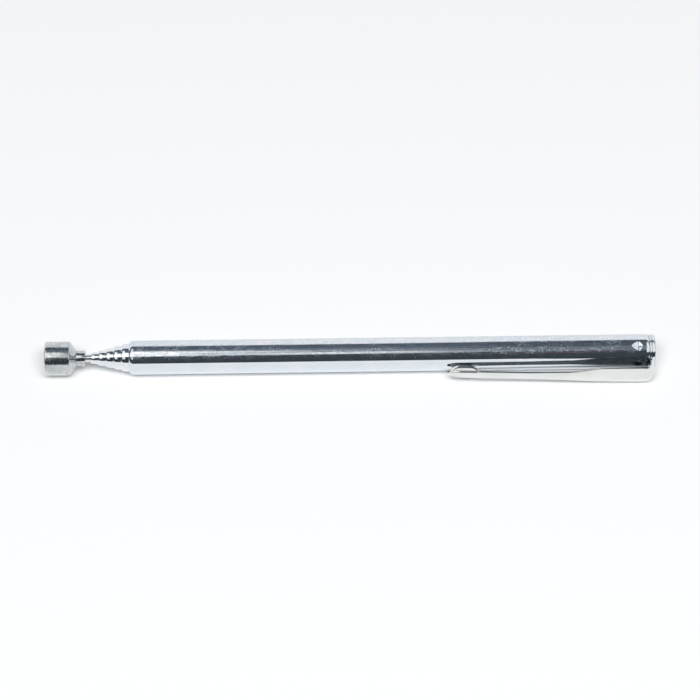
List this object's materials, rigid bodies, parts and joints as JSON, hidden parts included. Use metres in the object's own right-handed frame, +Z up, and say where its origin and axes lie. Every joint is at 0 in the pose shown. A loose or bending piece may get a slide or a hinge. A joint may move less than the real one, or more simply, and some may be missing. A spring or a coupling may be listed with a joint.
{
  "type": "telescoping magnetic pick-up tool",
  "caption": "Pen-sized pick-up tool: a magnet on a rod that slides out of a nest of chromed tubes, in a barrel with a pocket clip and a domed end plug.",
  "frame": {"origin": "centre of the magnet's front face, on the axis of the tubes", "axes": "+X along the axis to the end plug, +Z up as the tool lies on a table, the pocket clip on the -Y side with its lower edge on the table; -X is the way the tubes slide out"},
  "size_m": [0.1285, 0.0105, 0.0072],
  "materials": {
    "chrome_tube": "bright chrome plate with fine scratches and finger marks",
    "nickel_head": "dull nickel plate, slightly mottled",
    "magnet": "nickel-plated sintered magnet",
    "clip_steel": "plated spring steel, satin",
    "rod_steel": "drawn bright wire",
    "brass_bush": "turned brass",
    "bronze_sleeve": "rolled phosphor bronze sheet"
  },
  "bodies": {
    "barrel": {"barrel": "chrome_tube", "end_plug": "chrome_tube", "clip_ring": "clip_steel"},
    "clip": {"clip_arm": "clip_steel"},
    "sleeve_1": {"friction_sleeve_1": "bronze_sleeve"},
    "tube_1": {"tube_1": "chrome_tube", "stop_bush_1": "brass_bush"},
    "sleeve_2": {"friction_sleeve_2": "bronze_sleeve"},
    "tube_2": {"tube_2": "chrome_tube", "stop_bush_2": "brass_bush"},
    "sleeve_3": {"friction_sleeve_3": "bronze_sleeve"},
    "tube_3": {"tube_3": "chrome_tube", "stop_bush_3": "brass_bush"},
    "sleeve_4": {"friction_sleeve_4": "bronze_sleeve"},
    "tube_4": {"tube_4": "chrome_tube", "stop_bush_4": "brass_bush"},
    "sleeve_5": {"friction_sleeve_5": "bronze_sleeve"},
    "tube_5": {"tube_5": "chrome_tube", "stop_bush_5": "brass_bush"},
    "sleeve_6": {"friction_sleeve_6": "bronze_sleeve"},
    "rod": {"rod": "rod_steel", "stop_bush_6": "brass_bush", "neck_ferrule": "nickel_head", "magnet_cup": "nickel_head", "magnet": "magnet"}
  },
  "joints": [
    {"name": "slide_1", "type": "slide", "parent": "barrel", "child": "sleeve_1", "axis": [-1, 0, 0], "range_m": [0, 0.0815]},
    {"name": "turn_1", "type": "hinge", "parent": "sleeve_1", "child": "tube_1", "pos_m": [0.1, 0, 0], "axis": [1, 0, 0], "continuous": true},
    {"name": "slide_2", "type": "slide", "parent": "tube_1", "child": "sleeve_2", "axis": [-1, 0, 0], "range_m": [0, 0.0831]},
    {"name": "turn_2", "type": "hinge", "parent": "sleeve_2", "child": "tube_2", "pos_m": [0.1, 0, 0], "axis": [1, 0, 0], "continuous": true},
    {"name": "slide_3", "type": "slide", "parent": "tube_2", "child": "sleeve_3", "axis": [-1, 0, 0], "range_m": [0, 0.0848]},
    {"name": "turn_3", "type": "hinge", "parent": "sleeve_3", "child": "tube_3", "pos_m": [0.1, 0, 0], "axis": [1, 0, 0], "continuous": true},
    {"name": "slide_4", "type": "slide", "parent": "tube_3", "child": "sleeve_4", "axis": [-1, 0, 0], "range_m": [0, 0.0864]},
    {"name": "turn_4", "type": "hinge", "parent": "sleeve_4", "child": "tube_4", "pos_m": [0.1, 0, 0], "axis": [1, 0, 0], "continuous": true},
    {"name": "slide_5", "type": "slide", "parent": "tube_4", "child": "sleeve_5", "axis": [-1, 0, 0], "range_m": [0, 0.088]},
    {"name": "turn_5", "type": "hinge", "parent": "sleeve_5", "child": "tube_5", "pos_m": [0.1, 0, 0], "axis": [1, 0, 0], "continuous": true},
    {"name": "slide_6", "type": "slide", "parent": "tube_5", "child": "sleeve_6", "axis": [-1, 0, 0], "range_m": [0, 0.0897]},
    {"name": "turn_6", "type": "hinge", "parent": "sleeve_6", "child": "rod", "pos_m": [0.1, 0, 0], "axis": [1, 0, 0], "continuous": true},
    {"name": "clip_flex", "type": "hinge", "parent": "barrel", "child": "clip", "pos_m": [0.12587, -0.00662, -0.00093], "axis": [0, -0.1389, 0.9903], "range_deg": [0, 3], "stiffness_Nm_per_rad": 1.2, "springref_deg": -1.15}
  ]
}
